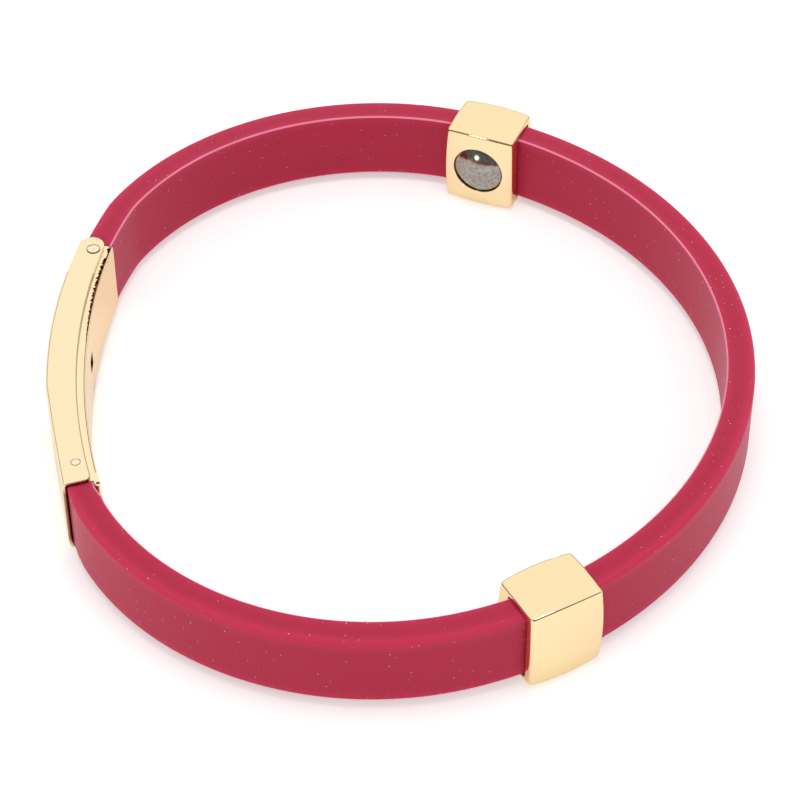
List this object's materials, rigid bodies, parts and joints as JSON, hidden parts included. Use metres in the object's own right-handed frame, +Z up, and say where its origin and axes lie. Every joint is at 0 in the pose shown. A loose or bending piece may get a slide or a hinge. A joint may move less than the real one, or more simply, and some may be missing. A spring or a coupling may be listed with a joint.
{
  "type": "wristband",
  "caption": "Flexible silicone wristband with a curved metal fold-over clasp and sliding metal beads that each hold a domed magnet against the wrist.",
  "frame": {"origin": "centre of the bounding box in plan, on the plane that the beads' crowned undersides rest on", "axes": "+Z up, along the band's height and the axis of the wrist; -X towards the clasp; +Y towards the clasp's hinge end"},
  "size_m": [0.0652, 0.0742, 0.0089],
  "materials": {
    "silicone_band": "satin moulded silicone, raspberry red",
    "gold_sheet": "polished pale gold plating on pressed sheet",
    "gold_pins": "polished pale gold plating on turned wire",
    "gold_bead": "polished pale gold plating on a cast bead",
    "magnet_stone": "polished dark grey iron oxide magnet with a domed face"
  },
  "bodies": {
    "band_and_base": {"band": "silicone_band", "clasp_base": "gold_sheet", "hinge_pin": "gold_pins", "loop_pin": "gold_pins"},
    "cover": {"clasp_cover": "gold_sheet", "latch_studs": "gold_pins"},
    "loop": {"hook_loop": "gold_sheet"},
    "front_bead": {"bead_front_shell": "gold_bead", "bead_front_magnet": "magnet_stone"},
    "back_bead": {"bead_back_shell": "gold_bead", "bead_back_magnet": "magnet_stone"}
  },
  "joints": [
    {"name": "cover_hinge", "type": "hinge", "parent": "band_and_base", "child": "cover", "pos_m": [-0.02935, 0.01348, 0.00447], "axis": [0, 0, -1], "range_deg": [0, 110]},
    {"name": "loop_hinge", "type": "hinge", "parent": "band_and_base", "child": "loop", "pos_m": [-0.02959, -0.01241, 0.00447], "axis": [0, 0, 1], "range_deg": [0, 27.5]},
    {"name": "front_bead_slide", "type": "hinge", "parent": "band_and_base", "child": "front_bead", "pos_m": [-0.00492, 0, 0.00447], "axis": [0, 0, 1], "range_deg": [-13, 52]},
    {"name": "back_bead_slide", "type": "hinge", "parent": "band_and_base", "child": "back_bead", "pos_m": [-0.00492, 0, 0.00447], "axis": [0, 0, 1], "range_deg": [-57, 7]}
  ],
  "couplings": [
    {"joint": "loop_hinge", "follows": "cover_hinge", "ratio": 0.25}
  ]
}
